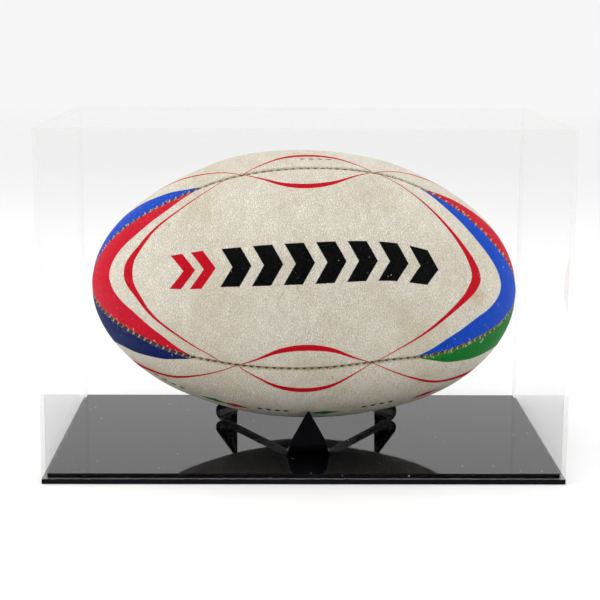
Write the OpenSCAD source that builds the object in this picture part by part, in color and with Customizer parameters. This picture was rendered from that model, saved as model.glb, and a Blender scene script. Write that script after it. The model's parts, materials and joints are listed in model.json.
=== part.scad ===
// Clear display case for an oval ball: a five-sheet acrylic cover that lifts off a base of
// two black sheets, a stand bent from one black sheet with three points, and a stitched
// four-panel ball resting on the points.
// Millimetres, +Z up. The origin is the middle of the base's underside, and the front is -Y.

/* [Case] */
// Outside width of the base and cover
case_w = 340; // [330:1:380]
// Outside depth of the base and cover
case_d = 210; // [206:1:260]
// Outside height, from the underside to the top of the cover
case_h = 230; // [225:1:280]
// Thickness of the clear cover sheets
cover_t = 3; // [2:0.5:5]

/* [Base] */
// Thickness of the lower, full-size black sheet
base_t = 3; // [2:0.5:6]
// Thickness of the upper black sheet that the cover drops round
plinth_t = 3; // [2:0.5:6]
// Clearance between the upper black sheet and each cover wall
plinth_gap = 0.4; // [0.2:0.1:1]

/* [Stand] */
// Distance from the stand's middle to each fold
fold_reach = 62.5; // [56:0.5:66]
// Width of the flat sheet at each fold
fold_w = 29.5; // [24:0.5:34]
// Length of each straight point, above its bend
point_len = 21; // [16:0.5:24]
// How far each point leans inward from upright, in degrees
point_lean = 20; // [10:1:30]
// Thickness of the stand's sheet
stand_t = 3; // [2:0.5:4]
// Inside radius of each bend
bend_r = 4; // [2:0.5:6]
// How far the stand is set to the right of the case's middle
stand_x = 3.4; // [-8:0.1:8]
// How far the stand is set behind the case's middle
stand_y = 7.1; // [4:0.1:12]

/* [Ball] */
// Length of the ball, end to end
ball_len = 297; // [280:1:300]
// Diameter of the ball round its middle
ball_dia = 187; // [180:1:190]
// How far the ball is set to the left on its stand, which tips its right end down
ball_shift = 2.5; // [-4:0.1:4]
// Thickness of a panel with its cloth backing
panel_t = 2.6; // [2:0.1:4]
// Width of the valley between two panels
seam_w = 1.4; // [1:0.1:2]
// How far the seam below the front panel is turned under the horizon, in degrees
seam_under = 24.5; // [0:0.5:45]
// Distance between two stitches of a seam
stitch_pitch = 6; // [5:0.5:10]

/* [Hidden] */

eps = 0.01;
base_top = base_t + plinth_t;
roof_z = case_h - cover_t;

// Stand: each bend turns the sheet up and inward about a level axis above the fold.
bend_turn = 90 + point_lean;
bend_axis_z = base_top + stand_t + bend_r;
bend_steps = 12;
point_blunt = 1.2;
foot_w = 2 * point_len * tan(30) + point_blunt / 2;

// The top edge of a point, as [distance from the stand's middle, height]: the inner corner
// for r = bend_r, and the outer corner for r = bend_r + stand_t.
function point_top(r) = [
    fold_reach + r * cos(point_lean) - point_len * sin(point_lean),
    bend_axis_z + r * sin(point_lean) + point_len * cos(point_lean)
];
tip_in = point_top(bend_r);
tip_out = point_top(bend_r + stand_t);

// Ball: an ellipse turned about its long axis. Its middle lies in front of the stand's, so
// that three points of one height carry it, and a sideways shift tips it by a small angle.
half_len = ball_len / 2;
half_dia = ball_dia / 2;
rest_gap = 0.3;
squareness = pow(half_dia / half_len, 2);
ball_ahead = tip_in[0] / 4 * (1 - squareness);
seat_depth = sqrt(pow(half_dia, 2) - pow(tip_in[0] - ball_ahead, 2));
ball_tip = ball_shift / seat_depth * squareness / (1 - squareness) * 180 / PI;
ball_x = stand_x - ball_shift;
ball_y = stand_y - ball_ahead;

// How far the ball's underside lies below its middle, at dx and dy from the middle.
function underside(dx, dy) = let (
    s = sin(ball_tip),
    c = cos(ball_tip),
    p = pow(s / half_len, 2) + pow(c / half_dia, 2),
    q = dx * s * c * (1 / pow(half_dia, 2) - 1 / pow(half_len, 2)),
    r = pow(dx * c / half_len, 2) + pow(dx * s / half_dia, 2) + pow(dy / half_dia, 2) - 1
) (q + sqrt(q * q - p * r)) / p;
seats = [
    for (turn = [-90, 30, 150], tip = [tip_in, tip_out])
        tip[1] + underside(ball_shift + tip[0] * cos(turn), ball_ahead + tip[0] * sin(turn))
];
ball_z = max(seats) + rest_gap;

// Panels and seams are placed by their turn about the long axis: 0 faces the front, 90 up.
front_turn = 45 - seam_under;
bladder_t = 0.6;
bladder_gap = 0.3;
bladder_depth = panel_t + bladder_gap;
valve_turn = front_turn + 180;
valve_d = 7;
valve_fit = 0.1;
valve_sink = 0.6;
flange_d = 16;
flange_t = 1.2;
flange_depth = bladder_depth + bladder_t + 0.6;
thread_d = 0.8;
stitch_d = 1.1;
stitch_depth = 1;
seam_margin = 16;
seam_length = PI * sqrt((pow(half_len, 2) + pow(half_dia, 2)) / 2);
stitch_count = floor(seam_length / stitch_pitch);
arch_steps = 44;

// The ball's outline at a depth under its surface, from one turn of the long axis to another.
function arch(depth, from, to) = [
    for (i = [0 : arch_steps])
        let (a = from + (to - from) * i / arch_steps)
            [(half_dia - depth) * sin(a), (half_len - depth) * cos(a)]
];

module at_ball() {
    translate([ball_x, ball_y, ball_z]) rotate([0, ball_tip, 0]) children();
}

module ball_shell(depth, thickness) {
    rotate([0, 90, 0])
        rotate_extrude($fn = 96)
            polygon(concat(arch(depth, 0, 180), arch(depth + thickness, 180, 0)));
}

// The quarter of space round the long axis whose middle faces the given turn.
module quarter(turn) {
    rotate([45 - turn, 0, 0])
        translate([-half_len, -half_dia - eps, seam_w / 2])
            cube([ball_len, half_dia + eps - seam_w / 2, half_dia]);
}

module valve_hole() {
    rotate([90 - valve_turn, 0, 0])
        translate([0, 0, half_dia - 8])
            cylinder(d = valve_d + valve_fit, h = 9, $fn = 48);
}

module ball_panel(turn, has_valve = false) {
    color("linen")
        at_ball()
            difference() {
                intersection() {
                    ball_shell(0, panel_t);
                    quarter(turn);
                }
                if (has_valve) valve_hole();
            }
}

// The thread that runs along one valley, with a stitch across it every stitch_pitch.
module seam_thread(turn) {
    color("ivory")
        at_ball()
            rotate([-turn, 0, 0])
                union() {
                    rotate([0, 0, -90])
                        linear_extrude(height = thread_d, center = true)
                            polygon(concat(
                                arch(stitch_depth - thread_d / 2, seam_margin, 180 - seam_margin),
                                arch(stitch_depth + thread_d / 2, 180 - seam_margin, seam_margin)
                            ));
                    for (i = [6 : stitch_count - 6])
                        translate([
                            (half_len - stitch_depth) * cos(180 * i / stitch_count),
                            -(half_dia - stitch_depth) * sin(180 * i / stitch_count),
                            0
                        ])
                            cylinder(d = stitch_d, h = seam_w, center = true, $fn = 16);
                }
}

module ball_bladder() {
    color("tan")
        at_ball()
            difference() {
                ball_shell(bladder_depth, bladder_t);
                valve_hole();
            }
}

// A rubber plug just below the ball's surface, with a flange inside the bladder.
module ball_valve() {
    color("dimgray")
        at_ball()
            rotate([90 - valve_turn, 0, 0])
                translate([0, 0, half_dia - flange_depth - flange_t])
                    union() {
                        cylinder(d = valve_d, h = flange_depth + flange_t - valve_sink, $fn = 48);
                        cylinder(d = flange_d, h = flange_t, $fn = 48);
                    }
}

module base_plate() {
    color("black")
        translate([-case_w / 2, -case_d / 2, 0])
            cube([case_w, case_d, base_t]);
}

module plinth_plate() {
    plinth_w = case_w - 2 * (cover_t + plinth_gap);
    plinth_d = case_d - 2 * (cover_t + plinth_gap);
    color("black")
        translate([-plinth_w / 2, -plinth_d / 2, base_t])
            cube([plinth_w, plinth_d, plinth_t]);
}

// A side wall of the cover, as deep as the case: -1 is the left one and 1 the right one.
module cover_side(side) {
    color("azure", 0.3)
        translate([side * (case_w - cover_t) / 2 - cover_t / 2, -case_d / 2, base_t])
            cube([cover_t, case_d, roof_z - base_t]);
}

// The front (-1) or back (1) wall of the cover, glued between the two side walls.
module cover_face(side) {
    color("azure", 0.3)
        translate([
            -case_w / 2 + cover_t,
            side * (case_d - cover_t) / 2 - cover_t / 2,
            base_t
        ])
            cube([case_w - 2 * cover_t, cover_t, roof_z - base_t]);
}

module cover_top() {
    color("azure", 0.3)
        translate([-case_w / 2, -case_d / 2, roof_z])
            cube([case_w, case_d, cover_t]);
}

// A thin cross-section of the sheet, turned round the bend and then moved along the point.
module slice(turn, width, along = 0) {
    translate([fold_reach, 0, bend_axis_z])
        rotate([0, -turn, 0])
            translate([along, -width / 2, -bend_r - stand_t])
                cube([eps, width, stand_t]);
}

// One bend, narrowing from the fold to the point's foot, and the point with its blunt tip.
module stand_point() {
    for (i = [0 : bend_steps - 1])
        hull() {
            slice(bend_turn * i / bend_steps, fold_w + (foot_w - fold_w) * i / bend_steps);
            slice(
                bend_turn * (i + 1) / bend_steps,
                fold_w + (foot_w - fold_w) * (i + 1) / bend_steps
            );
        }
    hull() {
        slice(bend_turn, foot_w);
        slice(bend_turn, point_blunt, point_len - eps);
    }
}

module ball_stand() {
    color("black")
        translate([stand_x, stand_y, 0])
            union() {
                translate([0, 0, base_top])
                    linear_extrude(height = stand_t)
                        polygon([
                            for (turn = [-90, 30, 150], side = [-1, 1])
                                [
                                    fold_reach * cos(turn) - side * fold_w / 2 * sin(turn),
                                    fold_reach * sin(turn) + side * fold_w / 2 * cos(turn)
                                ]
                        ]);
                for (turn = [-90, 30, 150])
                    rotate([0, 0, turn]) stand_point();
            }
}

base_plate();
plinth_plate();
cover_face(-1);  // cover_front_sheet
cover_face(1);  // cover_back_sheet
cover_side(-1);  // cover_left_sheet
cover_side(1);  // cover_right_sheet
cover_top();  // cover_top_sheet
ball_stand();
ball_panel(front_turn);  // ball_front_panel
ball_panel(front_turn + 90);  // ball_top_panel
ball_panel(front_turn + 180, true);  // ball_back_panel
ball_panel(front_turn + 270);  // ball_bottom_panel
ball_bladder();
ball_valve();
seam_thread(front_turn + 45);  // seam_thread_upper_front
seam_thread(front_turn + 135);  // seam_thread_upper_back
seam_thread(front_turn + 225);  // seam_thread_lower_back
seam_thread(front_turn - 45);  // seam_thread_lower_front
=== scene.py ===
# A clear acrylic display case on a black acrylic base, with a folded three-point stand and a
# worn rugby ball. Metres, +Z up, front towards -Y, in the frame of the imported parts.
import json
import math

import bmesh
import bpy
from mathutils import Matrix, Vector


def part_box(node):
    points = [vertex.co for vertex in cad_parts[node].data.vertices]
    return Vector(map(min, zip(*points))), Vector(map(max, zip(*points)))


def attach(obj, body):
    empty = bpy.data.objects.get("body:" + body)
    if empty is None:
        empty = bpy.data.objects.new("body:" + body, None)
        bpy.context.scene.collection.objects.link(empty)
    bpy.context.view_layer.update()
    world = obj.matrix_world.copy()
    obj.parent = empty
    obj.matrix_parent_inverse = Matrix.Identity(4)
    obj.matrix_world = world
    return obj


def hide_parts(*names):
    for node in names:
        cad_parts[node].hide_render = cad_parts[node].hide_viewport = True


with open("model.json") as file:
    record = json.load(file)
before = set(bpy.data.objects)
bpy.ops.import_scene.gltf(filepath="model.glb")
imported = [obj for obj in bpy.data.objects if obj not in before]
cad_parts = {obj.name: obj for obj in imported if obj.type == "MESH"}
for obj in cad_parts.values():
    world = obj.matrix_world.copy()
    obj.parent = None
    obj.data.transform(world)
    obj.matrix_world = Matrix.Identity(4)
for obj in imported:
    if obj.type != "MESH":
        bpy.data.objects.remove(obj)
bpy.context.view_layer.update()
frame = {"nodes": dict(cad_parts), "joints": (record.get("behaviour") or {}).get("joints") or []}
MM = 0.001
STITCH = 5.0  # mm from one stitch to the next


def linear(code):
    """An sRGB hex colour as linear RGBA."""
    channels = [int(code[i : i + 2], 16) / 255 for i in (0, 2, 4)]
    return (*[c / 12.92 if c <= 0.04045 else ((c + 0.055) / 1.055) ** 2.4 for c in channels], 1.0)


def add(material, kind, inputs=None, **settings):
    """Adds a node with its settings; each input is a value, or another node's output to link."""
    tree = material.node_tree
    made = tree.nodes.new(kind)
    for name, value in settings.items():
        setattr(made, name, value)
    for name, value in (inputs or {}).items():
        if isinstance(value, bpy.types.NodeSocket):
            tree.links.new(value, made.inputs[name])
        else:
            made.inputs[name].default_value = value
    return made


# Sockets of a Mix node that mixes two colours, which share their names with its other kinds.
COLOUR_A, COLOUR_B, MIXED = 6, 7, 2


def new_material(name):
    material = bpy.data.materials.new(name)
    material.use_nodes = True
    material.node_tree.nodes.clear()
    return material


def smooth_curve(points, x):
    """Height and slope at x of a smooth curve through points, level at its start."""
    if x <= points[0][0]:
        return points[0][1], 0.0
    if x >= points[-1][0]:
        return points[-1][1], 0.0
    i = next(k for k in range(len(points) - 1) if x < points[k + 1][0])
    slopes = []
    for k in (i, i + 1):
        if k == 0:
            slopes.append(0.0)
            continue
        before, after = points[k - 1], points[min(k + 1, len(points) - 1)]
        slopes.append((after[1] - before[1]) / (after[0] - before[0]))
    (x0, y0), (x1, y1) = points[i], points[i + 1]
    w = x1 - x0
    t = (x - x0) / w
    height = (
        (2 * t**3 - 3 * t**2 + 1) * y0
        + (t**3 - 2 * t**2 + t) * w * slopes[0]
        + (3 * t**2 - 2 * t**3) * y1
        + (t**3 - t**2) * w * slopes[1]
    )
    slope = slopes[0] * (1 - t) + slopes[1] * t
    return height, slope


# ---------------------------------------------------------------- materials


def polished_black_acrylic(name, ior):
    """Cast acrylic sheet, polished: a deep black mirror with a little dust and hair scratches."""
    material = new_material(name)
    place = add(material, "ShaderNodeTexCoord").outputs["Object"]
    # Dust grains of 0.5 mm, sparse, drawn at 1 mm so that they show from a low angle.
    grains = add(material, "ShaderNodeTexVoronoi", {"Vector": place, "Scale": 190.0})
    grain = add(
        material,
        "ShaderNodeMapRange",
        {"Value": grains.outputs["Distance"], "From Min": 0.12, "From Max": 0.06},
    )
    picked = add(
        material,
        "ShaderNodeMapRange",
        {"Value": grains.outputs["Color"], "From Min": 0.72, "From Max": 0.75},
    )
    dust = add(
        material,
        "ShaderNodeMath",
        {0: grain.outputs[0], 1: picked.outputs[0]},
        operation="MULTIPLY",
    )
    # Wiping marks, in streaks 30 mm long.
    streaks = add(
        material,
        "ShaderNodeMapping",
        {"Vector": place, "Scale": (33.0, 160.0, 160.0), "Rotation": (0.0, 0.0, 0.3)},
    )
    wiping = add(
        material,
        "ShaderNodeTexNoise",
        {"Vector": streaks.outputs[0], "Scale": 1.0, "Detail": 4.0, "Roughness": 0.6},
    )
    roughness = add(
        material,
        "ShaderNodeMapRange",
        {"Value": wiping.outputs[0], "From Min": 0.35, "From Max": 0.8, "To Min": 0.015, "To Max": 0.09},
    )
    colour = add(
        material,
        "ShaderNodeMix",
        {"Factor": dust.outputs[0], COLOUR_A: linear("08080C"), COLOUR_B: linear("C4C4C2")},
        data_type="RGBA",
    )
    # Gloss met head-on is held back, and a low angle still mirrors.
    acrylic = add(
        material,
        "ShaderNodeBsdfPrincipled",
        {
            "Base Color": colour.outputs[MIXED],
            "Roughness": roughness.outputs[0],
            "IOR": ior,
            "Specular Tint": (0.08, 0.08, 0.09, 1.0),
        },
    )
    add(material, "ShaderNodeOutputMaterial", {"Surface": acrylic.outputs[0]})
    return material


def clear_acrylic():
    """Clear cast acrylic sheet: sight goes straight through, and a low angle mirrors."""
    material = new_material("clear cast acrylic")
    # Gloss grows towards a low angle as acrylic's does, and is held back head-on.
    glance = add(material, "ShaderNodeLayerWeight", {"Blend": 0.5})
    low_angle = add(
        material, "ShaderNodeMath", {0: glance.outputs["Facing"], 1: 5.0}, operation="POWER"
    )
    share = add(
        material, "ShaderNodeMath", {0: low_angle.outputs[0], 1: 0.45}, operation="MULTIPLY"
    )
    clear = add(material, "ShaderNodeBsdfTransparent", {"Color": linear("FEFEFE")})
    gloss = add(
        material,
        "ShaderNodeBsdfPrincipled",
        {"Base Color": linear("FFFFFF"), "Metallic": 1.0, "Roughness": 0.02},
    )
    sheet = add(
        material,
        "ShaderNodeMixShader",
        {0: share.outputs[0], 1: clear.outputs[0], 2: gloss.outputs[0]},
    )
    add(material, "ShaderNodeOutputMaterial", {"Surface": sheet.outputs[0]})
    return material


def polished_edge():
    """Saw-cut and flame-polished acrylic edge: faint white lines along the case's corners."""
    material = new_material("flame-polished acrylic edge")
    place = add(material, "ShaderNodeTexCoord").outputs["Object"]
    # Saw marks about 2 mm apart, left under the polish.
    marks = add(
        material,
        "ShaderNodeTexNoise",
        {"Vector": place, "Scale": 450.0, "Detail": 2.0},
    )
    share = add(
        material,
        "ShaderNodeMapRange",
        {"Value": marks.outputs[0], "From Min": 0.3, "From Max": 0.7, "To Min": 0.1, "To Max": 0.18},
    )
    clear = add(material, "ShaderNodeBsdfTransparent", {"Color": linear("FBFBFA")})
    frosted = add(
        material,
        "ShaderNodeBsdfPrincipled",
        {"Base Color": linear("F4F3F0"), "Roughness": 0.3, "IOR": 1.49},
    )
    edge = add(
        material,
        "ShaderNodeMixShader",
        {0: share.outputs[0], 1: clear.outputs[0], 2: frosted.outputs[0]},
    )
    add(material, "ShaderNodeOutputMaterial", {"Surface": edge.outputs[0]})
    return material


# Printing inks.
RED, BLUE, NAVY, GREEN = "C8102C", "1348BC", "10205A", "14752A"
LINE_RED, BLACK = "C00A20", "040404"

# What each cover mesh carries for its print, in mm: depth inside the tip colour, offset from
# the long line and from the short stroke with half the width of each, distance to the seam
# and along it, and the place on the flattened panel.
PRINT_FIELDS = (
    "tip",
    "line_off",
    "line_half",
    "stroke_off",
    "stroke_half",
    "seam",
    "along",
    "across_x",
    "across_y",
)


def within(material, distance, half):
    """How far in mm a signed distance lies inside a half-width."""
    size = add(material, "ShaderNodeMath", {0: distance}, operation="ABSOLUTE")
    return add(
        material, "ShaderNodeMath", {0: half, 1: size.outputs[0]}, operation="SUBTRACT"
    ).outputs[0]


def motif_row(material, x, y, start, count, pitch, middle, half_height, half_width, lean):
    """Depth in mm inside a row of arrowheads (lean above 0) or lozenges (lean 0)."""
    rise = add(material, "ShaderNodeMath", {0: y, 1: middle}, operation="SUBTRACT").outputs[0]
    height = within(material, rise, half_height)
    # Arrowheads shift along with height; lozenges narrow with it.
    shift = add(
        material, "ShaderNodeMath", {0: height, 1: lean / half_height}, operation="MULTIPLY"
    ).outputs[0]
    run = add(material, "ShaderNodeMath", {0: x, 1: shift}, operation="SUBTRACT").outputs[0]
    steps = add(
        material,
        "ShaderNodeMapRange",
        {"Value": run, "From Min": start, "From Max": start + count * pitch, "To Max": count},
        clamp=False,
    ).outputs[0]
    cell = add(material, "ShaderNodeMath", {0: steps}, operation="FRACT").outputs[0]
    off = add(
        material,
        "ShaderNodeMapRange",
        {"Value": cell, "To Min": -pitch / 2, "To Max": pitch / 2},
    ).outputs[0]
    width = half_width
    if not lean:
        width = add(
            material,
            "ShaderNodeMapRange",
            {"Value": height, "From Max": half_height, "To Max": half_width},
        ).outputs[0]
    span = add(
        material, "ShaderNodeMath", {0: run, 1: start + count * pitch / 2}, operation="SUBTRACT"
    ).outputs[0]
    shape = add(
        material,
        "ShaderNodeMath",
        {0: within(material, off, width), 1: height},
        operation="MINIMUM",
    )
    return add(
        material,
        "ShaderNodeMath",
        {0: shape.outputs[0], 1: within(material, span, count * pitch / 2)},
        operation="MINIMUM",
    ).outputs[0]


def deepest_row(material, field, rows, depth=None):
    """Depth in mm inside whichever of several motif rows, or an earlier print, is deepest."""
    for row in rows:
        inside = motif_row(material, field["across_x"], field["across_y"], *row)
        if depth is not None:
            inside = add(
                material, "ShaderNodeMath", {0: depth, 1: inside}, operation="MAXIMUM"
            ).outputs[0]
        depth = inside
    return depth


def panel_grain(material, place):
    """Pressed grain and handling creases, each 1 on top and 0 at the bottom."""
    # Flat pebbles 1.6 mm across with grooves between them, drawn coarser than the real grain
    # so that they show.
    bend = add(material, "ShaderNodeTexNoise", {"Vector": place, "Scale": 90.0, "Detail": 3.0})
    bent = add(
        material,
        "ShaderNodeVectorMath",
        {0: bend.outputs["Color"], "Scale": 0.006},
        operation="SCALE",
    )
    moved = add(material, "ShaderNodeVectorMath", {0: place, 1: bent.outputs[0]}, operation="ADD")
    drawn_out = add(
        material, "ShaderNodeMapping", {"Vector": moved.outputs[0], "Scale": (1.3, 0.75, 0.75)}
    )
    pebbles = add(
        material,
        "ShaderNodeTexVoronoi",
        {"Vector": drawn_out.outputs[0], "Scale": 620.0},
        feature="DISTANCE_TO_EDGE",
    )
    grain = add(
        material,
        "ShaderNodeMapRange",
        {"Value": pebbles.outputs["Distance"], "From Min": 0.0, "From Max": 0.28},
    )
    # Creases, 3 mm apart.
    crease_place = add(
        material, "ShaderNodeMapping", {"Vector": moved.outputs[0], "Scale": (420.0, 190.0, 190.0)}
    )
    creases = add(
        material,
        "ShaderNodeTexNoise",
        {"Vector": crease_place.outputs[0], "Scale": 1.0, "Detail": 5.0, "Roughness": 0.65},
    )
    crease = add(
        material,
        "ShaderNodeMapRange",
        {"Value": creases.outputs[0], "From Min": 0.38, "From Max": 0.56},
    )
    return grain.outputs[0], crease.outputs[0]


def worn_cream(material, stains, patches, grain, crease):
    """Bare panel: cream, yellowed in broad stains, and grey down in the grain and creases."""
    stain = add(
        material,
        "ShaderNodeMapRange",
        {"Value": stains, "From Min": 0.45, "From Max": 0.75, "To Max": 0.6},
    )
    cream = add(
        material,
        "ShaderNodeMix",
        {"Factor": stain.outputs[0], COLOUR_A: linear("E5DFD1"), COLOUR_B: linear("CBBB98")},
        data_type="RGBA",
    )
    # Dirt is thicker in the patches that hands and boots wore most.
    worn = add(
        material,
        "ShaderNodeMapRange",
        {"Value": patches, "From Min": 0.4, "From Max": 0.62, "To Min": 0.15, "To Max": 1.0},
    )
    depth = add(material, "ShaderNodeMath", {0: 1.0, 1: crease}, operation="SUBTRACT")
    dirt = add(
        material,
        "ShaderNodeMath",
        {0: depth.outputs[0], 1: worn.outputs[0]},
        operation="MULTIPLY",
    )
    dirt_amount = add(
        material, "ShaderNodeMath", {0: dirt.outputs[0], 1: 0.14}, operation="MULTIPLY"
    )
    soiled = add(
        material,
        "ShaderNodeMix",
        {
            "Factor": dirt_amount.outputs[0],
            COLOUR_A: cream.outputs[MIXED],
            COLOUR_B: linear("9B8F79"),
        },
        data_type="RGBA",
    )
    groove = add(
        material,
        "ShaderNodeMapRange",
        {"Value": grain, "From Min": 0.45, "From Max": 0.0, "To Max": 0.5},
    )
    grained = add(
        material,
        "ShaderNodeMix",
        {"Factor": groove.outputs[0], COLOUR_A: soiled.outputs[MIXED], COLOUR_B: linear("8E836E")},
        data_type="RGBA",
    )
    return grained.outputs[MIXED]


def water_mark(material, field, stains, colour, spot):
    """One old tan mark, 20 mm across, round a spot given in mm on the flattened panel."""
    place = add(material, "ShaderNodeCombineXYZ", {0: field["across_x"], 1: field["across_y"]})
    from_spot = add(
        material, "ShaderNodeVectorMath", {0: place.outputs[0], 1: spot}, operation="DISTANCE"
    )
    ragged = add(
        material,
        "ShaderNodeMath",
        {0: stains, 1: -24.0, 2: from_spot.outputs["Value"]},
        operation="MULTIPLY_ADD",
    )
    mark = add(
        material,
        "ShaderNodeMapRange",
        {"Value": ragged.outputs[0], "From Min": 2.0, "From Max": -10.0, "To Max": 0.5},
    )
    return add(
        material,
        "ShaderNodeMix",
        {"Factor": mark.outputs[0], COLOUR_A: colour, COLOUR_B: linear("C89A66")},
        data_type="RGBA",
    ).outputs[MIXED]


def fold_cracks(material, place, patches, colour):
    """Hairline cracks where the cover was folded flat, in a few places."""
    noise = add(
        material,
        "ShaderNodeTexNoise",
        {"Vector": place, "Scale": 55.0, "Detail": 3.0, "Roughness": 0.55, "Distortion": 0.6},
    )
    level = add(material, "ShaderNodeMath", {0: noise.outputs[0], 1: 0.5}, operation="SUBTRACT")
    crack_half = 0.006
    crack = add(
        material,
        "ShaderNodeMapRange",
        {
            "Value": within(material, level.outputs[0], crack_half),
            "From Min": 0.0,
            "From Max": crack_half,
            "To Max": 0.55,
        },
    )
    folded = add(
        material,
        "ShaderNodeMapRange",
        {"Value": patches, "From Min": 0.5, "From Max": 0.62},
    )
    amount = add(
        material,
        "ShaderNodeMath",
        {0: crack.outputs[0], 1: folded.outputs[0]},
        operation="MULTIPLY",
    )
    return add(
        material,
        "ShaderNodeMix",
        {"Factor": amount.outputs[0], COLOUR_A: colour, COLOUR_B: linear("84775C")},
        data_type="RGBA",
    ).outputs[MIXED]


def ink_cover(material, wander, depth):
    """1 where a print covers the panel, with a ragged soft edge 0.3 mm wide."""
    ragged = add(material, "ShaderNodeMath", {0: depth, 1: wander}, operation="ADD")
    return add(
        material,
        "ShaderNodeMapRange",
        {"Value": ragged.outputs[0], "From Min": -0.15, "From Max": 0.15},
    ).outputs[0]


def screen_print(material, place, field, bare, tips, red_rows, green_rows, black_rows):
    """The print over the bare panel, in the order it was put on: tips, red, green, black."""
    # Edges wander by 0.15 mm over the grain.
    ragged = add(material, "ShaderNodeTexNoise", {"Vector": place, "Scale": 700.0, "Detail": 2.0})
    wander = add(
        material,
        "ShaderNodeMapRange",
        {"Value": ragged.outputs[0], "To Min": -0.15, "To Max": 0.15},
    ).outputs[0]
    left_tip, right_tip = tips
    side = add(
        material,
        "ShaderNodeMapRange",
        {"Value": field["across_x"], "From Min": -1.0, "From Max": 1.0},
    )
    tip_ink = add(
        material,
        "ShaderNodeMix",
        {"Factor": side.outputs[0], COLOUR_A: linear(left_tip), COLOUR_B: linear(right_tip)},
        data_type="RGBA",
    )
    # Scuffs of 3 mm and less through the tip colours, thickest beside a seam.
    scuffs = add(
        material,
        "ShaderNodeTexNoise",
        {"Vector": place, "Scale": 330.0, "Detail": 4.0, "Roughness": 0.7},
    )
    beside = add(
        material,
        "ShaderNodeMapRange",
        {
            "Value": field["seam"],
            "From Min": 0.5,
            "From Max": 7.0,
            "To Min": 0.10,
            "To Max": -0.02,
        },
    )
    scuff_level = add(
        material,
        "ShaderNodeMath",
        {0: scuffs.outputs[0], 1: beside.outputs[0]},
        operation="ADD",
    )
    unscuffed = add(
        material,
        "ShaderNodeMapRange",
        {"Value": scuff_level.outputs[0], "From Min": 0.74, "From Max": 0.66},
    )
    tip_cover = add(
        material,
        "ShaderNodeMath",
        {0: ink_cover(material, wander, field["tip"]), 1: unscuffed.outputs[0]},
        operation="MULTIPLY",
    )
    lines = add(
        material,
        "ShaderNodeMath",
        {
            0: within(material, field["line_off"], field["line_half"]),
            1: within(material, field["stroke_off"], field["stroke_half"]),
        },
        operation="MAXIMUM",
    )
    red = deepest_row(material, field, red_rows, lines.outputs[0])
    layers = [
        (tip_cover.outputs[0], tip_ink.outputs[MIXED]),
        (ink_cover(material, wander, red), linear(LINE_RED)),
    ]
    for rows, ink in ((green_rows, GREEN), (black_rows, BLACK)):
        if rows:
            depth = deepest_row(material, field, rows)
            layers.append((ink_cover(material, wander, depth), linear(ink)))
    # Ink sits thin over the high grain, so a few pinholes show through.
    pinholes = add(
        material,
        "ShaderNodeMapRange",
        {"Value": scuffs.outputs[0], "From Min": 0.72, "From Max": 0.68},
    )
    colour = bare
    for cover, ink in layers:
        kept = add(
            material, "ShaderNodeMath", {0: cover, 1: pinholes.outputs[0]}, operation="MULTIPLY"
        )
        colour = add(
            material,
            "ShaderNodeMix",
            {"Factor": kept.outputs[0], COLOUR_A: colour, COLOUR_B: ink},
            data_type="RGBA",
        ).outputs[MIXED]
    return colour


def gape_reach(material, field):
    """Distance in mm from the nearest gape, one between each two stitches, long across the seam."""
    step = add(material, "ShaderNodeMath", {0: field["along"], 1: 1 / STITCH}, operation="MULTIPLY")
    phase = add(material, "ShaderNodeMath", {0: step.outputs[0]}, operation="FRACT")
    off = add(material, "ShaderNodeMath", {0: phase.outputs[0], 1: 0.5}, operation="SUBTRACT")
    gape_spread = 4.0
    off_mm = add(material, "ShaderNodeMath", {0: off.outputs[0], 1: gape_spread}, operation="MULTIPLY")
    flat = add(material, "ShaderNodeCombineXYZ", {0: off_mm.outputs[0], 1: field["seam"]})
    return add(
        material, "ShaderNodeVectorMath", {0: flat.outputs[0]}, operation="LENGTH"
    ).outputs["Value"]


def seam_grime_and_gape_shade(material, field, reach, colour):
    """Grime along the valley of the seam, and painted shade down in each gape between stitches."""
    valley_grime = add(
        material,
        "ShaderNodeMapRange",
        {"Value": field["seam"], "From Min": 2.2, "From Max": 0.2, "To Max": 0.5},
    )
    grimy = add(
        material,
        "ShaderNodeMix",
        {"Factor": valley_grime.outputs[0], COLOUR_A: colour, COLOUR_B: linear("857449")},
        data_type="RGBA",
    )
    # Painted shade: each gape is darkened in colour for the shadow down in the stitch hole.
    gape_shade = add(
        material,
        "ShaderNodeMapRange",
        {"Value": reach, "From Min": 1.15, "From Max": 0.7, "To Max": 0.75},
    )
    return add(
        material,
        "ShaderNodeMix",
        {"Factor": gape_shade.outputs[0], COLOUR_A: grimy.outputs[MIXED], COLOUR_B: linear("4E3F22")},
        data_type="RGBA",
    ).outputs[MIXED]


def panel_relief(material, grain, crease, reach):
    """Relief of the grain and creases, and of the panel drawn down at each gape."""
    low_grain = add(
        material,
        "ShaderNodeBump",
        {"Height": grain, "Strength": 0.9, "Distance": 0.4 * MM},
    )
    low_crease = add(
        material,
        "ShaderNodeBump",
        {
            "Height": crease,
            "Strength": 0.7,
            "Distance": 0.22 * MM,
            "Normal": low_grain.outputs[0],
        },
    )
    sunk = add(
        material,
        "ShaderNodeMapRange",
        {"Value": reach, "From Min": 0.4, "From Max": 2.6},
    )
    return add(
        material,
        "ShaderNodeBump",
        {
            "Height": sunk.outputs[0],
            "Strength": 0.5,
            "Distance": 0.5 * MM,
            "Normal": low_crease.outputs[0],
        },
    ).outputs[0]


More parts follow.
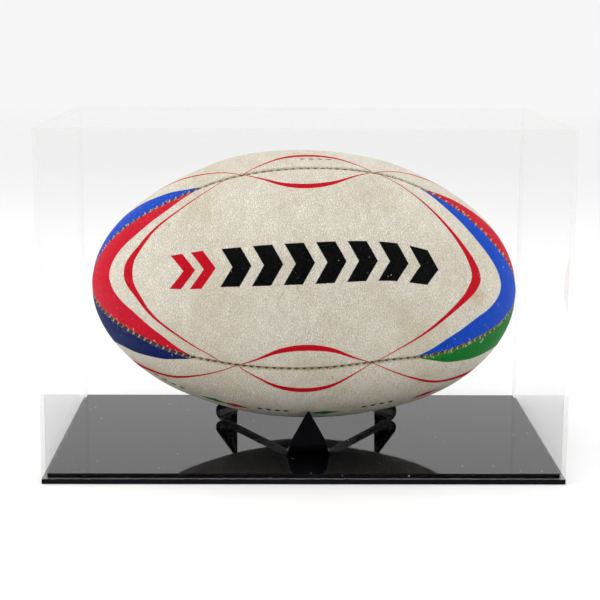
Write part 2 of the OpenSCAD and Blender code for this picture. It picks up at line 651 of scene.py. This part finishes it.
def printed_panel(name, tips, red_rows=(), green_rows=(), black_rows=(), spot=None):
    """Laminated grip panel, cream with printed colours: matt, creased and scuffed by play."""
    material = new_material(name)
    place = add(material, "ShaderNodeTexCoord").outputs["Object"]
    field = {
        key: add(material, "ShaderNodeAttribute", attribute_name=key).outputs["Fac"]
        for key in PRINT_FIELDS
    }
    # Broad stains, some 45 mm apart, and the patches of heaviest wear, some 60 mm apart.
    stains = add(
        material,
        "ShaderNodeTexNoise",
        {"Vector": place, "Scale": 22.0, "Detail": 8.0, "Roughness": 0.62},
    ).outputs[0]
    patches = add(
        material, "ShaderNodeTexNoise", {"Vector": place, "Scale": 16.0, "Detail": 2.0}
    ).outputs[0]
    grain, crease = panel_grain(material, place)
    colour = worn_cream(material, stains, patches, grain, crease)
    if spot:
        colour = water_mark(material, field, stains, colour, spot)
    colour = fold_cracks(material, place, patches, colour)
    colour = screen_print(
        material, place, field, colour, tips, red_rows, green_rows, black_rows
    )
    reach = gape_reach(material, field)
    shine = add(
        material,
        "ShaderNodeMapRange",
        {"Value": stains, "From Min": 0.3, "From Max": 0.7, "To Min": 0.42, "To Max": 0.6},
    )
    panel = add(
        material,
        "ShaderNodeBsdfPrincipled",
        {
            # The base colour carries the painted shade of the stitch gapes.
            "Base Color": seam_grime_and_gape_shade(material, field, reach, colour),
            "Roughness": shine.outputs[0],
            "IOR": 1.5,
            "Specular IOR Level": 0.05,
            "Normal": panel_relief(material, grain, crease, reach),
        },
    )
    add(material, "ShaderNodeOutputMaterial", {"Surface": panel.outputs[0]})
    return material


def waxed_thread():
    """Waxed polyester thread, twisted: off-white, browned by mud where it enters the panel."""
    material = new_material("waxed twisted thread")
    place = add(material, "ShaderNodeTexCoord").outputs["Object"]
    # Mud in patches 6 mm long, so about every other stitch is browner.
    mud = add(material, "ShaderNodeTexNoise", {"Vector": place, "Scale": 160.0, "Detail": 3.0})
    amount = add(
        material,
        "ShaderNodeMapRange",
        {"Value": mud.outputs[0], "From Min": 0.4, "From Max": 0.65},
    )
    colour = add(
        material,
        "ShaderNodeMix",
        {"Factor": amount.outputs[0], COLOUR_A: linear("CDBE98"), COLOUR_B: linear("8A7750")},
        data_type="RGBA",
    )
    # Twist of the plies, drawn at 0.5 mm so that it shows.
    twist = add(
        material,
        "ShaderNodeTexWave",
        {"Vector": place, "Scale": 600.0},
        bands_direction="DIAGONAL",
    )
    bump = add(
        material,
        "ShaderNodeBump",
        {"Height": twist.outputs["Fac"], "Strength": 0.4, "Distance": 0.1 * MM},
    )
    thread = add(
        material,
        "ShaderNodeBsdfPrincipled",
        {
            "Base Color": colour.outputs[MIXED],
            "Roughness": 0.6,
            "Sheen Weight": 0.2,
            "Normal": bump.outputs[0],
        },
    )
    add(material, "ShaderNodeOutputMaterial", {"Surface": thread.outputs[0]})
    return material


def moulded_rubber(name, code, bloom):
    """Moulded rubber or dipped latex: a soft low shine with a pale bloom."""
    material = new_material(name)
    place = add(material, "ShaderNodeTexCoord").outputs["Object"]
    # Bloom in clouds 4 mm across.
    cloud = add(material, "ShaderNodeTexNoise", {"Vector": place, "Scale": 240.0, "Detail": 4.0})
    colour = add(
        material,
        "ShaderNodeMix",
        {"Factor": cloud.outputs[0], COLOUR_A: linear(code), COLOUR_B: linear(bloom)},
        data_type="RGBA",
    )
    bump = add(
        material,
        "ShaderNodeBump",
        {"Height": cloud.outputs[0], "Strength": 0.3, "Distance": 0.1 * MM},
    )
    rubber = add(
        material,
        "ShaderNodeBsdfPrincipled",
        {
            "Base Color": colour.outputs[MIXED],
            "Roughness": 0.55,
            "IOR": 1.52,
            "Normal": bump.outputs[0],
        },
    )
    add(material, "ShaderNodeOutputMaterial", {"Surface": rubber.outputs[0]})
    return material


def white_card():
    """Matt white paper roll, the surface that the case stands on."""
    material = new_material("matt white paper roll")
    place = add(material, "ShaderNodeTexCoord").outputs["Object"]
    # Faint cloudiness of the pulp, 33 mm across.
    fibre = add(material, "ShaderNodeTexNoise", {"Vector": place, "Scale": 30.0, "Detail": 5.0})
    colour = add(
        material,
        "ShaderNodeMix",
        {"Factor": fibre.outputs[0], COLOUR_A: linear("F4F4F4"), COLOUR_B: linear("F1F1F1")},
        data_type="RGBA",
    )
    card = add(
        material,
        "ShaderNodeBsdfPrincipled",
        {"Base Color": colour.outputs[MIXED], "Roughness": 0.9, "Specular IOR Level": 0.1},
    )
    # The roll runs out of sight into the white room, from 1 m to 3.9 m away.
    away = add(material, "ShaderNodeVectorMath", {0: place}, operation="LENGTH")
    fade = add(
        material,
        "ShaderNodeMapRange",
        {"Value": away.outputs["Value"], "From Min": 1.0, "From Max": 3.9},
    )
    room = add(material, "ShaderNodeBsdfTransparent")
    paper = add(
        material,
        "ShaderNodeMixShader",
        {0: fade.outputs[0], 1: card.outputs[0], 2: room.outputs[0]},
    )
    add(material, "ShaderNodeOutputMaterial", {"Surface": paper.outputs[0]})
    return material


base_acrylic = polished_black_acrylic("polished black cast acrylic", 1.75)
stand_acrylic = polished_black_acrylic("heat-bent black acrylic", 1.36)
sheet_face = clear_acrylic()
sheet_edge = polished_edge()
thread = waxed_thread()
valve_rubber = moulded_rubber("moulded black rubber", "0B0B0B", "1E1D1C")
latex = moulded_rubber("dipped latex", "9C7650", "B08C66")


# ---------------------------------------------------------------- mesh helpers


def piece(name, points, faces, materials, body, stands_for=()):
    """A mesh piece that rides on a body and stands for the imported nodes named."""
    mesh = bpy.data.meshes.new(name)
    mesh.from_pydata(points, [], faces)
    mesh.validate()
    for material in materials:
        mesh.materials.append(material)
    made = bpy.data.objects.new(name, mesh)
    bpy.context.scene.collection.objects.link(made)
    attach(made, body)
    if stands_for:
        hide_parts(*stands_for)
    return made


def soften(made, width):
    """Rounds the sharp edges by width, as a scraper or buffing wheel does."""
    bevel = made.modifiers.new("eased edges", "BEVEL")
    bevel.width = width
    bevel.segments = 2
    bevel.limit_method = "ANGLE"
    bevel.angle_limit = math.radians(40)
    bevel.harden_normals = True


# ---------------------------------------------------------------- case

for name in ("base_plate", "plinth_plate"):
    plate = frame["nodes"][name]
    plate.data.materials.clear()
    plate.data.materials.append(base_acrylic)
    soften(plate, 0.25 * MM)

BOND = 0.03 * MM  # half the glue line between two sheets


def clear_sheet(side):
    """One sheet of the cover, half a glue line short all round, with its cut edges polished."""
    low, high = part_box(f"cover_{side}_sheet")
    low, high = low + Vector((BOND,) * 3), high - Vector((BOND,) * 3)
    points = [(x, y, z) for x in (low.x, high.x) for y in (low.y, high.y) for z in (low.z, high.z)]
    faces = [(0, 1, 3, 2), (4, 6, 7, 5), (0, 4, 5, 1), (2, 3, 7, 6), (0, 2, 6, 4), (1, 5, 7, 3)]
    made = piece(
        f"clear_{side}_sheet",
        points,
        faces,
        [sheet_face, sheet_edge],
        "cover",
        [f"cover_{side}_sheet"],
    )
    thin = min(range(3), key=lambda k: high[k] - low[k])
    for face in made.data.polygons:
        face.material_index = 0 if abs(face.normal[thin]) > 0.5 else 1
    soften(made, 0.2 * MM)


for side in ("front", "back", "left", "right", "top"):
    clear_sheet(side)


# ---------------------------------------------------------------- stand


def folded_stand():
    """The stand as one bent sheet: a flat six-sided middle and three tapering points."""
    thick, fold, fold_half = 3 * MM, 62.5 * MM, 14.75 * MM
    inner, lean, straight = 4 * MM, math.radians(20), 21 * MM
    blunt_half = 0.6 * MM
    foot_half = straight * math.tan(math.radians(30)) + blunt_half / 2
    low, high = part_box("ball_stand")
    floor_z = low.z
    turns = [math.radians(t) for t in (-90, 30, 150)]
    reach = fold + inner + thick
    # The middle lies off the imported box's centre by what the points stick out.
    middle = Vector(((low.x + high.x) / 2, low.y + reach, floor_z))
    # Cross-sections of one point: round the bend first, then up its straight taper.
    stations = []
    bend = math.pi / 2 + lean
    bend_steps, taper_steps = 20, 8
    for i in range(bend_steps + 1):
        angle = bend * i / bend_steps
        half = fold_half + (foot_half - fold_half) * i / bend_steps
        stations.append(
            [
                (fold + r * math.sin(angle), inner + thick - r * math.cos(angle), half)
                for r in (inner + thick, inner)
            ]
        )
    end = stations[-1]
    for i in range(1, taper_steps + 1):
        part = i / taper_steps
        half = foot_half + (blunt_half - foot_half) * part
        stations.append(
            [
                (x - straight * part * math.sin(lean), z + straight * part * math.cos(lean), half)
                for x, z, _ in end
            ]
        )
    points, faces, folds = [], [], []
    for turn in turns:
        out = Vector((math.cos(turn), math.sin(turn), 0))
        across = Vector((-math.sin(turn), math.cos(turn), 0))
        first = len(points)
        for outer, inside in stations:
            for x, z, half in (outer, inside):
                for sign in (-1, 1):
                    points.append(middle + out * x + across * sign * half + Vector((0, 0, z)))
        for i in range(len(stations) - 1):
            a, b = first + 4 * i, first + 4 * (i + 1)
            faces += [
                (a, a + 1, b + 1, b),
                (a + 3, a + 2, b + 2, b + 3),
                (a + 2, a, b, b + 2),
                (a + 1, a + 3, b + 3, b + 1),
            ]
        tip = first + 4 * (len(stations) - 1)
        faces.append((tip, tip + 1, tip + 3, tip + 2))
        folds.append(first)
    # The flat middle joins the three folds, underneath, on top and along three edges.
    under = [fold_start + k for fold_start in folds for k in (0, 1)]
    over = [k + 2 for k in under]
    faces += [tuple(reversed(under)), tuple(over)]
    for i in (0, 1, 2):
        a, b = folds[i] + 1, folds[(i + 1) % 3]
        faces.append((a, b, b + 2, a + 2))
    made = piece(
        "folded_stand", points, faces, [stand_acrylic], "stand", ["ball_stand"]
    )
    skin = bmesh.new()
    skin.from_mesh(made.data)
    bmesh.ops.recalc_face_normals(skin, faces=skin.faces)
    skin.to_mesh(made.data)
    skin.free()
    made.data.shade_smooth()
    soften(made, 0.3 * MM)


folded_stand()


# ---------------------------------------------------------------- ball

turning = next(joint for joint in frame["joints"] if joint["name"] == "ball_turn")
ball_middle = Vector(turning["pos_m"])
ball_axis = Vector(turning["axis"])
ball_place = Matrix.Translation(ball_middle) @ Matrix.Rotation(
    math.atan2(-ball_axis.z, ball_axis.x), 4, "Y"
)
HALF_LENGTH, HALF_WIDTH = 148.5, 93.5  # mm
FRONT_TURN = math.radians(20.5)
HALF_PANEL = math.pi / 4  # turn from a panel's middle to its seam
SEAM_HALF = 0.3  # mm from a panel's edge to the middle of its seam
ROLLED_EDGE = 3.3  # mm that a panel's edge is turned in
BLADDER_DEPTH = 3.4  # mm under the panels' faces


def valley(gap):
    """How far the cover dips, in mm, at a distance from a seam: a tight roll in a soft hollow."""
    return 1.3 * math.exp(-(gap**2)) + 0.45 * math.exp(-gap / 6)


# Old balls lose their shape: how far in mm the ends droop, by share of the half-length, and
# how far the left end's shoulders have gone flat.
DROOP = [(0, 0), (0.3, 0.02), (0.4, 0.2), (0.5, 1.0), (0.65, 2.0), (0.8, 2.3), (1.0, 2.3)]
FLAT_SHOULDER = [(0, 0), (0.3, 0.1), (0.5, 1.2), (0.8, 1.8), (0.95, 0.8), (1.0, 0)]


def on_ball(along, turn, depth):
    """A spot at a turn of the outline (0 is the left end) and round the axis (0 is the front)."""
    end = -math.cos(along)
    droop = smooth_curve(DROOP, abs(end))[0]
    if end < 0:
        depth += smooth_curve(FLAT_SHOULDER, -end)[0] * math.sin(turn) ** 2
    width = (HALF_WIDTH - depth) * math.sin(along)
    return ball_place @ (
        Vector(
            (
                (HALF_LENGTH - depth) * end,
                -width * math.cos(turn),
                width * math.sin(turn) - droop,
            )
        )
        * MM
    )


def lengths(count):
    """Distance in mm from the left end, over the surface, at each of count + 1 equal turns."""
    total, result = 0.0, [0.0]
    for i in range(count):
        a = math.pi * (i + 0.5) / count
        total += math.pi / count * math.hypot(HALF_LENGTH * math.sin(a), HALF_WIDTH * math.cos(a))
        result.append(total)
    return result


# Degrees that the hand-sewn seams run off a true quarter, by share of the half-length.
SEAM_WANDER = {
    0: [(-1, 2), (-0.85, 1), (-0.5, -3), (0, -2), (0.35, 0.2), (0.6, -0.2), (0.8, 1), (1, 3)],
    1: [(-1, -7), (-0.9, -6), (-0.6, -4), (-0.3, -1.5), (0, 1)]
    + [(0.35, 3.4), (0.6, 2), (0.75, -3), (0.9, -12), (1, -16)],
}


def seam_turn(k, end):
    """Turn of a seam: 0 lower front, 1 upper front, 2 upper back, 3 lower back, 4 round again."""
    wander = SEAM_WANDER.get(k % 4)
    shift = smooth_curve(wander, end)[0] if wander else 0.0
    return FRONT_TURN + (k - 0.5) * math.pi / 2 + math.radians(shift)


# Print layout, as share of the half-length against share of the way to a seam (0 to 1).
TIP_EDGE = [(0, 0.89), (0.15, 0.885), (0.34, 0.865), (0.5, 0.825), (0.63, 0.76)]
TIP_EDGE += [(0.74, 0.695), (0.83, 0.625), (0.92, 0.56), (1.0, 0.48)]
LINE_LEFT = [(0, 0.797), (0.15, 0.79), (0.27, 0.77), (0.4, 0.737), (0.5, 0.71), (0.6, 0.67)]
LINE_LEFT += [(0.68, 0.62), (0.77, 0.55), (0.85, 0.485), (0.92, 0.42), (1.0, 0.36)]
LINE_RIGHT = [(0, 0.762), (0.15, 0.748), (0.3, 0.715), (0.5, 0.64), (0.72, 0.525), (0.9, 0.395), (1.0, 0.31)]
LINE_OTHER = [(0, 0.79), (0.21, 0.757), (0.37, 0.69), (0.52, 0.60), (0.70, 0.50), (0.85, 0.40), (1.0, 0.30)]
# Half width of the long line, in mm.
LINE_HALF = [(0, 4.1), (0.12, 3.7), (0.3, 2.4), (0.5, 1.4), (0.7, 0.85), (0.85, 0.5), (1.0, 0.3)]
# The short stroke beside each seam: share of the way to the seam against share of the
# half-length, then its half width in mm.
STROKE_MIDDLE = [(0, 0.725), (0.07, 0.74), (0.135, 0.785), (0.21, 0.88), (0.27, 0.96)]
STROKE_MIDDLE += [(0.31, 1.02), (0.36, 1.1)]
STROKE_HALF = [(0, 2.2), (0.05, 2.1), (0.1, 1.7), (0.17, 1.0), (0.24, 0.5), (0.3, 0.3)]


def ball_panel(name, quarter, material, lines, node_name, low_stroke=0.0, tip_in=0.0, valve=False):
    """One quarter of the cover, with rolled edges and the print's outlines as distances in mm."""
    rows, columns = 190, 80
    distance = lengths(rows)
    points, faces, fields = [], [], []
    # Columns crowd towards the seams, where the valleys are.
    evens = [2 * j / columns - 1 for j in range(columns + 1)]
    shares = [0.4 * even + 0.6 * math.sin(math.pi / 2 * even) for even in evens]

    def field_at(along, share, half, gap, length):
        """The print fields at a spot, in the order of PRINT_FIELDS."""
        end = -math.cos(along)
        per_end = math.hypot(HALF_LENGTH, HALF_WIDTH * end / max(math.sin(along), 0.02))
        per_share = max(HALF_WIDTH * math.sin(along) * half, 0.5)
        edge, slope = smooth_curve(TIP_EDGE, abs(share))
        edge += tip_in if end > 0 else 0.0
        tip = (abs(end) - edge) / math.hypot(1 / per_end, slope / per_share)
        middle, slope = smooth_curve(lines[end > 0], abs(share))
        across = (abs(end) - middle) / math.hypot(1 / per_end, slope / per_share)
        line_half = smooth_curve(LINE_HALF, abs(share))[0]
        middle, slope = smooth_curve(STROKE_MIDDLE, abs(end))
        if share < 0:
            middle += low_stroke * max(0.0, 1 - (end / 0.3) ** 2)
        stroke = (abs(share) - middle) / math.hypot(1 / per_share, slope / per_end)
        stroke_half = smooth_curve(STROKE_HALF, abs(end))[0] if abs(end) < 0.31 else -9.0
        x, y = end * HALF_LENGTH, share * HALF_WIDTH * HALF_PANEL
        return tip, across, line_half, stroke, stroke_half, gap, length, x, y

    def put(along, share, length, depth=None):
        """Adds a point at a share of the way to a seam, in the valley unless a depth is given."""
        end = -math.cos(along)
        low, high = seam_turn(quarter, end), seam_turn(quarter + 1, end)
        half = (high - low) / 2
        wide = max(HALF_WIDTH * math.sin(along), 0.01)
        share *= 1 - min(0.5, SEAM_HALF / wide / half)
        gap = wide * half * (1 - abs(share))
        turn = (low + high) / 2 + half * share
        points.append(on_ball(along, turn, valley(gap) if depth is None else depth))
        fields.append(field_at(along, share, half, gap, length))

    for i in range(1, rows):
        along = math.pi * i / rows
        put(along, -1.0, distance[i], ROLLED_EDGE)
        for share in shares:
            put(along, share, distance[i])
        put(along, 1.0, distance[i], ROLLED_EDGE)
    across = columns + 3
    for i in range(rows - 2):
        for j in range(across - 1):
            a = i * across + j
            faces.append((a, a + across, a + across + 1, a + 1))
    for along, row in ((0.0, 0), (math.pi, rows - 2)):
        put(along, 0.0, distance[0 if row == 0 else rows], valley(0.0))
        pole = len(points) - 1
        for j in range(1, across - 2):
            a = row * across + j
            faces.append((pole, a, a + 1) if row == 0 else (a, pole, a + 1))
    if valve:
        # A hole for the valve, hidden under its collar.
        hole = 2.6 * MM
        middle = on_ball(math.pi / 2, FRONT_TURN + quarter * math.pi / 2, 0)
        faces = [face for face in faces if min((points[k] - middle).length for k in face) > hole]
    made = piece(name, points, faces, [material], "ball", [node_name])
    made.data.shade_smooth()
    for k, key in enumerate(PRINT_FIELDS):
        layer = made.data.attributes.new(key, "FLOAT", "POINT")
        layer.data.foreach_set("value", [values[k] for values in fields])


OTHER = (LINE_OTHER, LINE_OTHER)
# Rows of plain motifs, in mm: start, count, pitch, middle, half height, half width, lean.
FRONT_BLACK = [(-59.5, 7, 20.3, -2.5, 13.2, 6.2, 7.5)]
FRONT_RED = [(-92, 2, 13.5, -2.5, 14, 3.9, 9)]
TOP_BLACK = [(-7, 4, 6, -60, 0.9, 2.4, 0)]
UNDER_BLACK = [(x, 4, 6, 21, 1.9, 2.6, 0) for x in (-104, -32, 39)]
UNDER_GREEN = [(x, 1, 24, 17, 4, 11, 0) for x in (-72, 3)]
UNDER_RED = [(x, 1, 24, 17, 4, 11, 0) for x in (-58, 72)]
front_cover = printed_panel(
    "printed grip panel, front",
    (RED, BLUE),
    red_rows=FRONT_RED,
    black_rows=FRONT_BLACK,
    spot=(113, -20, 0),
)
top_cover = printed_panel("printed grip panel, top", (BLUE, RED), black_rows=TOP_BLACK)
back_cover = printed_panel("printed grip panel, back", (GREEN, NAVY))
under_cover = printed_panel(
    "printed grip panel, bottom",
    (NAVY, GREEN),
    red_rows=UNDER_RED,
    green_rows=UNDER_GREEN,
    black_rows=UNDER_BLACK,
)
ball_panel("front_panel", 0, front_cover, (LINE_LEFT, LINE_RIGHT), "ball_front_panel", low_stroke=0.05)
ball_panel("top_panel", 1, top_cover, OTHER, "ball_top_panel", tip_in=0.05)
ball_panel("back_panel", 2, back_cover, OTHER, "ball_back_panel", valve=True)
ball_panel("bottom_panel", 3, under_cover, OTHER, "ball_bottom_panel", tip_in=0.02)


def seam_stitches(name, quarter, node_name):
    """A stitch over the valley every 5 mm, leaning a little and pulled down into it."""
    fine = 2000
    distance = lengths(fine)
    points, faces = [], []
    sides = 6
    spans = (-1.7, -1.3, -0.7, 0.0, 0.7, 1.3, 1.7)  # mm across the seam
    half_wide, half_high, lean = 0.42, 0.34, 0.35
    bare_end = 9  # mm, where the panels meet in a point
    k = 0
    for i in range(fine):
        if distance[i] < k * STITCH:
            continue
        k += 1
        if distance[i] < bare_end or distance[i] > distance[-1] - bare_end:
            continue
        along = math.pi * i / fine
        turn = seam_turn(quarter, -math.cos(along))
        wide = HALF_WIDTH * math.sin(along)
        forward = (on_ball(along + 0.001, turn, 1) - on_ball(along - 0.001, turn, 1)).normalized()
        up = (on_ball(along, turn, 0) - on_ball(along, turn, 4)).normalized()
        first = len(points)
        for span in spans:
            # The thread lies just over the valley and dives into the panel at each end.
            dip = valley(abs(span)) * 0.85 - 0.05 + (0.7 if abs(span) > 1.5 else 0.0)
            middle = on_ball(along, turn + span / wide, dip)
            for s in range(sides):
                a = 2 * math.pi * s / sides
                points.append(
                    middle
                    + forward * (half_wide * math.cos(a) + lean * span) * MM
                    + up * half_high * math.sin(a) * MM
                )
        for r in range(len(spans) - 1):
            for s in range(sides):
                a, b = first + r * sides + s, first + r * sides + (s + 1) % sides
                faces.append((a, b, b + sides, a + sides))
        last = first + (len(spans) - 1) * sides
        faces.append(tuple(first + s for s in reversed(range(sides))))
        faces.append(tuple(last + s for s in range(sides)))
    made = piece(name, points, faces, [thread], "ball", [node_name])
    made.data.shade_smooth()


for quarter, where in enumerate(("lower_front", "upper_front", "upper_back", "lower_back")):
    seam_stitches(f"{where}_stitching", quarter, f"seam_thread_{where}")


def ball_valve():
    """A turned rubber plug with a collar over the panel's hole and a needle hole."""
    # Radius against height in mm: collar, dished face, then down the needle hole.
    outline = [(6.2, -0.5), (5.9, -0.1), (5.5, 0.12), (4.6, 0.2), (4.0, 0.05), (3.7, -0.5)]
    outline += [(3.4, -0.75), (1.6, -0.75), (1.1, -0.95), (0.8, -1.3), (0.7, -3.0)]
    turn = FRONT_TURN + math.pi
    middle = on_ball(math.pi / 2, turn, 0)
    out = (on_ball(math.pi / 2, turn, -1) - middle).normalized()
    side = (ball_place.to_3x3() @ Vector((1, 0, 0))).normalized()
    other = out.cross(side)
    count = 48
    points, faces = [], []
    for radius, height in outline:
        for s in range(count):
            a = 2 * math.pi * s / count
            round_axis = side * math.cos(a) + other * math.sin(a)
            points.append(middle + (round_axis * radius + out * height) * MM)
    for r in range(len(outline) - 1):
        for s in range(count):
            a, b = r * count + s, r * count + (s + 1) % count
            faces.append((a, b, b + count, a + count))
    last = (len(outline) - 1) * count
    faces.append(tuple(last + s for s in range(count)))
    made = piece(
        "moulded_valve", points, faces, [valve_rubber], "ball", ["ball_valve"]
    )
    made.data.shade_smooth()


ball_valve()


def ball_bladder():
    """The latex bladder, tight against the inside of the panels."""
    rows, columns = 48, 64
    points = [
        on_ball(math.pi * i / rows, 2 * math.pi * j / columns, BLADDER_DEPTH)
        for i in range(1, rows)
        for j in range(columns)
    ]
    faces = []
    for i in range(rows - 2):
        for j in range(columns):
            a, b = i * columns + j, i * columns + (j + 1) % columns
            faces.append((a, a + columns, b + columns, b))
    last = (rows - 2) * columns
    points += [on_ball(0, 0, BLADDER_DEPTH), on_ball(math.pi, 0, BLADDER_DEPTH)]
    for j in range(columns):
        k = (j + 1) % columns
        faces += [(len(points) - 2, j, k), (len(points) - 1, last + k, last + j)]
    made = piece(
        "latex_bladder", points, faces, [latex], "ball", ["ball_bladder"]
    )
    made.data.shade_smooth()


ball_bladder()


# ---------------------------------------------------------------- floor, light and camera

bpy.ops.mesh.primitive_plane_add(size=8, location=(0, 0, -0.0003))
floor = bpy.context.object
floor.name = "paper roll"
floor.data.materials.append(white_card())

world = bpy.data.worlds.new("white studio")
bpy.context.scene.world = world
world.use_nodes = True
world.node_tree.nodes["Background"].inputs["Color"].default_value = linear("F7F7F7")
world.node_tree.nodes["Background"].inputs["Strength"].default_value = 1.0


def softbox(name, place, size, power):
    """A square soft light aimed at the ball, itself out of sight."""
    aim = Vector((0, 0, 0.1))
    light = bpy.data.lights.new(name, "AREA")
    light.shape = "SQUARE"
    light.size = size
    light.energy = power
    lamp = bpy.data.objects.new(name, light)
    bpy.context.scene.collection.objects.link(lamp)
    lamp.location = place
    lamp.rotation_euler = (aim - Vector(place)).to_track_quat("-Z", "Y").to_euler()
    lamp.visible_camera = False


softbox("overhead softbox", (-0.15, 0.0, 1.6), 1.4, 9.5)
softbox("left softbox", (-1.2, -0.15, 0.4), 0.9, 4.0)
softbox("right softbox", (1.2, -0.15, 0.4), 0.9, 2.0)

camera = bpy.data.objects.new("camera", bpy.data.cameras.new("camera"))
bpy.context.scene.collection.objects.link(camera)
camera.data.sensor_width = 36
camera.data.lens = 89.3
camera.data.clip_start = 0.05
pitch, yaw, roll = 0.1905, 0.0122, 0.0048
ahead = Vector((math.sin(yaw) * math.cos(pitch), math.cos(yaw) * math.cos(pitch), -math.sin(pitch)))
right = Vector((math.cos(yaw), -math.sin(yaw), 0))
up = right.cross(ahead)
turned_right = right * math.cos(roll) + up * math.sin(roll)
turned_up = up * math.cos(roll) - right * math.sin(roll)
axes = Matrix((turned_right, turned_up, -ahead)).transposed()
camera.matrix_world = Matrix.Translation((-0.01454, -1.03058, 0.30012)) @ axes.to_4x4()
bpy.context.scene.camera = camera
bpy.context.scene.view_settings.view_transform = "Standard"
